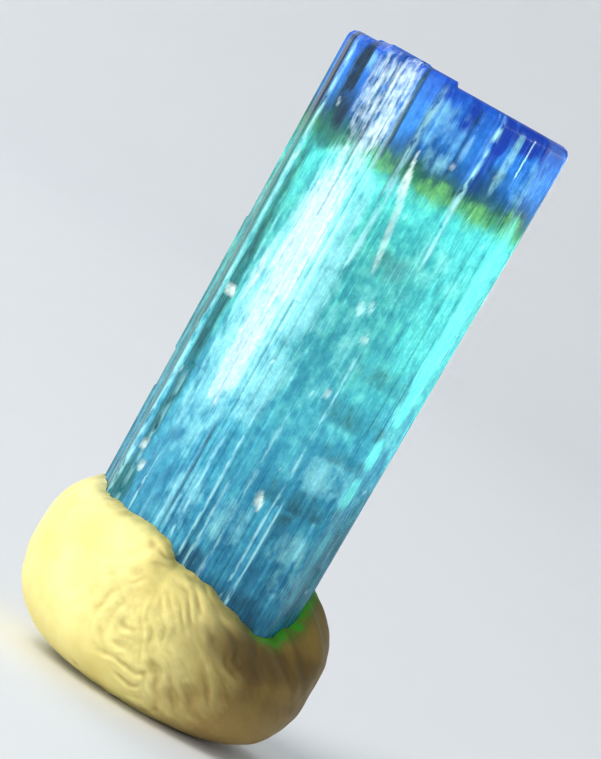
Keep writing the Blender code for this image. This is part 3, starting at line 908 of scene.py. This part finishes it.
# The patches' paints, the lowest first: the noise that breaks up the edge, how much, how soft
# the edge is, how much the paint covers, and its colour.
PATCH_PAINTS = (
    ("green", "brush", 0.5, 0.30, 0.85, (0.010, 0.130, 0.110)),
    ("deep", "broad", 0.6, 0.30, 1.00, (0.004, 0.040, 0.440)),
    ("lime", "soft", 1.2, 0.45, 0.80, (0.170, 0.560, 0.165)),
    # Milky cloudiness and the painted halo of the highlight.
    ("milk_and_painted_halo", "drifting", 1.3, 0.45, 0.72, (0.340, 0.860, 0.930)),
    # Painted glow.
    ("painted_glow", "brush", 0.5, 0.40, 0.80, (0.150, 0.950, 0.900)),
    ("shade", "cloud", 0.6, 0.45, 1.00, (0.001, 0.018, 0.052)),
    # Painted highlights.
    ("painted_highlight", "soft", 1.3, 0.40, 0.80, (0.660, 0.850, 0.960)),
)
END_COLOURS = ((0.0, (0.006, 0.062, 0.420)), (1.0, (0.042, 0.250, 0.780)))
# The worn lines' colour, which also paints their glints.
WORN_AND_GLINT_COLOUR = (0.46, 0.94, 1.0)
FROST_COLOUR = (0.84, 1.0, 0.94)
# The rim of the end is rougher: from and to in millimetres, and by how much.
ROUGH_RIM = (27.2, 27.5)
RIM_ROUGHNESS = 0.25
RUBBED_ROUGHNESS = 0.35


def crystal_noises(shader, place):
    """The crystal's noises by name, and two blends of them."""
    noises = {}
    for name, (across, along, detail) in NOISES.items():
        noise = shader.noise(shader.scaled(place, across, across, along), detail)
        span = BROKEN_RANGE if name == "broken" else NOISE_RANGE
        noises[name] = shader.spread(noise, *span)
    noises["soft"] = shader.weighted(noises["brush"], 0.6, noises["fleck"])
    noises["drifting"] = shader.weighted(noises["cloud"], 0.6, noises["soft"])
    return noises


def ragged(shader, name, noise, grain, edge):
    """A stored field whose edge is broken up by noise."""
    field = shader.stored(name)
    shifted = shader.math("MULTIPLY_ADD", shader.math("SUBTRACT", noise, 0.5), grain, field)
    inside = shader.spread(field, 0.02, 0.30)
    return shader.math("MULTIPLY", shader.spread(shifted, 0.5 - edge, 0.5 + edge), inside)


def crystal_colour(shader, noises, z):
    """The colour zones, mottled, with the patches painted over them, among them painted highlights
    with their halo and a painted glow, and the flat end.
    """
    drift = shader.math("MULTIPLY_ADD", noises["cloud"], ZONE_DRIFT[1], ZONE_OFFSET)
    drift = shader.math("MULTIPLY_ADD", noises["broad"], ZONE_DRIFT[0], drift)
    low, high = ZONES[0][0], ZONES[-1][0]
    stops = [((up - low) / (high - low), colour) for up, colour in ZONES]
    colour = shader.ramp(shader.spread(shader.math("ADD", z, drift), low, high), stops)
    striped = shader.spread(z, *STREAK_HEIGHTS, STREAK_LEAST, 1.0)
    colour = shader.mix(striped, colour, shader.tinted(colour, noises["streak"], STREAK_TINTS))
    colour = shader.tinted(colour, noises["cloud"], CLOUD_TINTS)
    colour = shader.tinted(colour, noises["fleck"], FLECK_TINTS)
    for name, noise, grain, edge, cover, paint in PATCH_PAINTS:
        share = shader.math("MULTIPLY", ragged(shader, name, noises[noise], grain, edge), cover)
        colour = shader.mix(share, colour, paint)
    colour = shader.tinted(colour, noises["crumb"], CRUMB_TINTS)
    return shader.mix(shader.stored("top"), colour, shader.ramp(noises["fleck"], END_COLOURS))


def crystal_material():
    shader = Shader("tourmaline")
    place = shader.place()
    _, _, z = shader.in_millimetres(place)
    noises = crystal_noises(shader, place)
    colour = crystal_colour(shader, noises, z)
    # The worn lines, painted lighter also as glints along the arrises.
    worn = shader.math("MULTIPLY", shader.stored("worn"), noises["broken"])
    colour = shader.mix(worn, colour, WORN_AND_GLINT_COLOUR)
    frosted = shader.spread(noises["fleck"], 0.1, 0.6, 0.55, 1.0)
    frost = shader.math("MULTIPLY", shader.stored("frost"), frosted)
    shader.paint(Base_Color=shader.mix(frost, colour, FROST_COLOUR))

    fine = shader.noise(shader.scaled(place, 16000, 16000, 500), detail=3)
    rubbed = shader.math("MULTIPLY", shader.math("MAXIMUM", frost, worn), RUBBED_ROUGHNESS)
    rough = shader.math("ADD", shader.spread(fine, 0.3, 0.7, 0.16, 0.30), rubbed)
    rim = shader.spread(z, *ROUGH_RIM, 0.0, RIM_ROUGHNESS)
    shader.paint(Roughness=shader.math("ADD", rough, rim))
    ripple = shader.bump(fine, 0.006 * MM, 0.5)
    grain = shader.bump(shader.grain(place, 9000, detail=3), 0.004 * MM, 0.3, ripple)
    shader.paint(Normal=grain)
    shader.paint(IOR=1.63, Transmission_Weight=0.26, Specular_IOR_Level=0.25)
    shader.paint(Specular_Tint=(0.42, 0.84, 1.0, 1.0))
    shader.paint(Coat_Weight=0.1, Coat_Roughness=0.06, Coat_IOR=1.5)
    absorb = shader.tree.nodes.new("ShaderNodeVolumeAbsorption")
    absorb.inputs["Color"].default_value = (0.35, 0.88, 0.92, 1.0)
    absorb.inputs["Density"].default_value = 35.0
    shader.tree.links.new(absorb.outputs["Volume"], shader.output.inputs["Volume"])
    return shader.material


# The putty's colours: the lump, the painted shade in the grooves of its marks, the rubbed patch
# round the whorl, the painted shade that turns the right side brown and its lighter lower part,
# the painted shadow under the crystal's right corner, and the painted olive shade and painted
# green light that the crystal throws on it.
LUMP_COLOURS = ((0.35, (0.72, 0.61, 0.21)), (0.65, (0.82, 0.74, 0.30)))
GROOVE_SHADE_COLOUR = (0.44, 0.34, 0.10)
RUBBED_COLOUR = (0.50, 0.43, 0.14)
PAINTED_SHADE_COLOURS = ((0.0, (0.115, 0.060, 0.006)), (1.0, (0.165, 0.100, 0.014)))
PAINTED_SHADE_LOW_COLOUR = (0.330, 0.205, 0.055)
PAINTED_SHADOW_COLOUR = (0.068, 0.040, 0.006)
PAINTED_OLIVE_SHADE = (0.095, 0.125, 0.016)
PAINTED_GREEN_LIGHT = (0.030, 0.270, 0.008)
# The depth of a mark that is fully darkened by the painted shade in its groove.
GROOVE_SHADE_DEPTH = 0.050 * MM
# In millimetres: where the front's rubbed patch, painted shadow and painted shade fade in, where
# the painted shade does towards +X, and where it turns lighter downwards.
FRONT_FADE = (4.5, 0.5)
PAINTED_SHADE_FADE = (1.15, 5.1)
PAINTED_SHADE_LOW_FADE = (2.9, 1.0)
# The turn of the smears that were drawn across the putty, and their bumps a metre.
SMEAR_TURN = math.radians(-39)
SMEAR_BUMPS = (350, 1200, 2300)
# The reach of the rubbed patch, and the middle and the reach of the painted shadow, across and up.
RUB_SPAN = (2.3, 1.9)
PAINTED_SHADOW_AT = (3.9, 4.3)
PAINTED_SHADOW_SPAN = (2.3, 0.8)


def putty_material():
    shader = Shader("putty")
    place = shader.place()
    x, y, z = shader.in_millimetres(place)
    patch = shader.grain(place, 450, detail=4)
    blot = shader.spread(shader.grain(place, 2100, detail=4), *NOISE_RANGE)
    turned = shader.node("ShaderNodeVectorRotate", Vector=place)
    turned.rotation_type = "Y_AXIS"
    turned.inputs["Angle"].default_value = SMEAR_TURN
    drawn = shader.scaled(turned.outputs["Vector"], *SMEAR_BUMPS)
    smudge = shader.spread(shader.noise(drawn, detail=4), 0.36, 0.64)
    front = shader.spread(y, *FRONT_FADE)

    def around(middle, span, strength):
        """A soft patch of the front, by its middle and its reach across and up."""
        across = shader.math("DIVIDE", shader.math("SUBTRACT", x, middle[0]), span[0])
        along = shader.math("DIVIDE", shader.math("SUBTRACT", z, middle[1]), span[1])
        out = shader.math("MULTIPLY_ADD", across, across, shader.math("MULTIPLY", along, along))
        out = shader.math("MULTIPLY_ADD", shader.math("SUBTRACT", smudge, 0.5), 0.6, out)
        return shader.math("MULTIPLY", shader.spread(out, 1.6, 0.2, 0.0, strength), front)

    def blotted(share, least, most):
        """The share made uneven by the blots."""
        return shader.math("MULTIPLY", share, shader.spread(blot, 0.0, 1.0, least, most))

    # Painted shade: darker brown the deeper the grooves of the marks.
    groove = shader.spread(shader.stored("groove"), 0.0, GROOVE_SHADE_DEPTH)
    colour = shader.mix(blotted(groove, 0.35, 0.80), shader.ramp(patch, LUMP_COLOURS), GROOVE_SHADE_COLOUR)
    rub = shader.spread(blot, 0.1, 0.9, 0.15, 0.70)
    rub = shader.math("MULTIPLY", around(WHORL_AT, RUB_SPAN, 0.9), rub)
    colour = shader.mix(rub, colour, RUBBED_COLOUR)
    # Painted shade: the front's right side turns brown, lighter lower down.
    right = shader.math("MULTIPLY_ADD", patch, 2.0, shader.math("MULTIPLY_ADD", smudge, 1.1, x))
    right = shader.math("MULTIPLY", shader.spread(right, *PAINTED_SHADE_FADE), front)
    painted_shade = shader.ramp(smudge, PAINTED_SHADE_COLOURS)
    painted_shade = shader.mix(shader.spread(z, *PAINTED_SHADE_LOW_FADE, 0.0, 0.8), painted_shade, PAINTED_SHADE_LOW_COLOUR)
    colour = shader.mix(shader.math("MULTIPLY", right, 0.93), colour, painted_shade)
    # Painted shadow: a dark patch under the crystal's right corner.
    colour = shader.mix(around(PAINTED_SHADOW_AT, PAINTED_SHADOW_SPAN, 0.8), colour, PAINTED_SHADOW_COLOUR)
    # Painted olive shade and painted green light where the putty meets the crystal.
    contact_shade_and_light = blotted(shader.stored("near"), 0.65, 1.25)
    colour = shader.mix(shader.spread(contact_shade_and_light, 0.03, 0.50, 0.0, 0.8), colour, PAINTED_OLIVE_SHADE)
    colour = shader.mix(shader.spread(contact_shade_and_light, 0.48, 0.95, 0.0, 0.95), colour, PAINTED_GREEN_LIGHT)
    shader.paint(Base_Color=colour)

    smear = shader.grain(place, 1500, detail=4)
    shader.paint(Roughness=shader.spread(smear, 0.3, 0.7, 0.42, 0.62))
    drag = shader.bump(smudge, 0.02 * MM, 0.25, shader.bump(smear, 0.05 * MM, 0.35))
    grain = shader.grain(place, 9000, detail=4, roughness=0.6)
    shader.paint(Normal=shader.bump(grain, 0.012 * MM, 0.5, drag))
    shader.paint(IOR=1.45, Specular_IOR_Level=0.3)
    shader.paint(Subsurface_Weight=0.2, Subsurface_Scale=0.35 * MM)
    shader.paint(Subsurface_Radius=(1.0, 0.7, 0.25))
    return shader.material


# The painted olive shade and painted green light by the crystal: how far out and how low they
# reach, their strength on the left, and from where and over what width they grow to the full.
TINT_REACH = 0.85 * MM
TINT_LOW = 3.6 * MM
TINT_LEFT = 0.35
TINT_RIGHT = (1.5, 3.0)


def mark_near_crystal(piece):
    """Stores how close each point of the putty lies to the crystal, from 0 to 1, as the mask
    of the painted olive shade and painted green light there.
    """
    near = []
    for v in piece.data.vertices:
        axis = axis_at(v.co.z)
        offset = Vector((v.co.x, v.co.y)) - axis
        degrees = math.degrees(math.atan2(offset.x, -offset.y))
        out = offset.length - (crystal_surface(degrees, v.co.z) - axis).length
        right = float(smooth_step((v.co.x / MM - TINT_RIGHT[0]) / TINT_RIGHT[1]))
        side = TINT_LEFT + (1 - TINT_LEFT) * right
        high = float(smooth_step((v.co.z - TINT_LOW) / MM))
        near.append(side * high * float(smooth_step(1.0 - abs(out) / TINT_REACH)))
    add_values(piece, "near", near)


FLOOR_COLOURS = ((0.3, (0.735, 0.745, 0.755)), (0.7, (0.745, 0.755, 0.765)))
# The floor curves up into a round wall, so that no edge shows from any side. In metres.
FLOOR_FLAT = 0.30
COVE_RADIUS = 0.22
WALL_TOP = 0.34
COVE_STEPS = 24
STAGE_SIDES = 128


def floor_material():
    shader = Shader("floor")
    speck = shader.grain(shader.place(), 60, detail=5)
    shader.paint(Base_Color=shader.ramp(speck, FLOOR_COLOURS))
    shader.paint(Roughness=0.75)
    return shader.material


def build_stage():
    profile = [(0.0, 0.0), (FLOOR_FLAT, 0.0)]
    for step in range(1, COVE_STEPS + 1):
        angle = math.pi / 2 * step / COVE_STEPS
        out = FLOOR_FLAT + COVE_RADIUS * math.sin(angle)
        profile.append((out, COVE_RADIUS * (1 - math.cos(angle))))
    profile.append((FLOOR_FLAT + COVE_RADIUS, WALL_TOP))
    points = [(0.0, 0.0, 0.0)]
    for out, up in profile[1:]:
        for side in range(STAGE_SIDES):
            angle = 2 * math.pi * side / STAGE_SIDES
            points.append((out * math.cos(angle), out * math.sin(angle), up))
    faces = [(0, 1 + side, 1 + (side + 1) % STAGE_SIDES) for side in range(STAGE_SIDES)]
    for start in range(1 + STAGE_SIDES, len(points), STAGE_SIDES):
        faces += band(start, start - STAGE_SIDES, STAGE_SIDES)
    stage = add_mesh("floor", points, faces)
    stage.data.shade_smooth()
    stage.data.materials.append(floor_material())


# Soft studio lights: where each is, what it is aimed at and its width and height, in
# millimetres, then its spread in degrees, its power in watts and its colour.
LIGHTS = (
    ("key", (-330, -250, 330), (0, 0, 10), (260, 260), 180, 1.95, (1.0, 0.98, 0.95)),
    ("front", (-90, -360, 60), (0, 0, 8), (180, 180), 180, 0.34, (1.0, 0.99, 0.97)),
    ("strip", (-85, -59, 16), (-2.6, -3.6, 16.5), (12, 24), 180, 0.020, (1.0, 1.0, 1.0)),
    ("side", (114, -10, 21), (3.5, -1, 19.5), (10, 15), 5, 0.00065, (0.95, 1.0, 1.0)),
    ("back", (-200, 300, 260), (0, 0, 14), (200, 200), 180, 0.5, (0.92, 0.97, 1.0)),
)
# The light that only fills in colour and leaves no glint.
GLINTLESS = "side"
SKY_COLOUR = (0.86, 0.92, 1.0, 1.0)
SKY_STRENGTH = 0.45


def build_lights():
    for name, position, target, size, spread, power, colour in LIGHTS:
        light = bpy.data.lights.new(name, "AREA")
        light.shape = "RECTANGLE"
        light.size, light.size_y = size[0] * MM, size[1] * MM
        light.spread = math.radians(spread)
        light.energy = power
        light.color = colour
        lamp = add_object(name, light)
        lamp.location = Vector(position) * MM
        aim = Vector(target) * MM - lamp.location
        lamp.rotation_euler = aim.to_track_quat("-Z", "Y").to_euler()
        lamp.visible_camera = False
        lamp.visible_glossy = name != GLINTLESS
    world = bpy.data.worlds.new("studio")
    bpy.context.scene.world = world
    world.use_nodes = True
    sky = world.node_tree.nodes["Background"]
    sky.inputs["Color"].default_value = SKY_COLOUR
    sky.inputs["Strength"].default_value = SKY_STRENGTH


def build_camera():
    """The photograph's view. Its frame is turned, so that the upright crystal leans in it."""
    camera = bpy.data.cameras.new("camera")
    camera.sensor_width = SENSOR
    camera.lens = SENSOR * CAMERA_DISTANCE / (PHOTO_HEIGHT * PIXEL)
    camera.clip_start, camera.clip_end = CAMERA_REACH
    back = Vector((0.0, -math.cos(CAMERA_RISE), math.sin(CAMERA_RISE)))
    level = Vector((1.0, 0.0, 0.0))
    upright = back.cross(level)
    right = level * math.cos(PHOTO_LEAN) + upright * math.sin(PHOTO_LEAN)
    up = upright * math.cos(PHOTO_LEAN) - level * math.sin(PHOTO_LEAN)
    holder = add_object("camera", camera)
    holder.matrix_world = Matrix.Translation(PHOTO_MIDDLE + back * CAMERA_DISTANCE) @ Matrix(
        (right, up, back)
    ).transposed().to_4x4()
    bpy.context.scene.camera = holder


def main():
    build_camera()
    build_stage()
    build_lights()
    bpy.context.scene.view_settings.view_transform = "Standard"

    crystal = build_crystal()
    crystal.data.materials.append(crystal_material())
    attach(crystal, "root")
    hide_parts("tourmaline_crystal")

    putty = build_putty()
    mark_near_crystal(putty)
    putty.data.materials.clear()
    putty.data.materials.append(putty_material())
    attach(putty, "root")
    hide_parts("mounting_putty")


main()
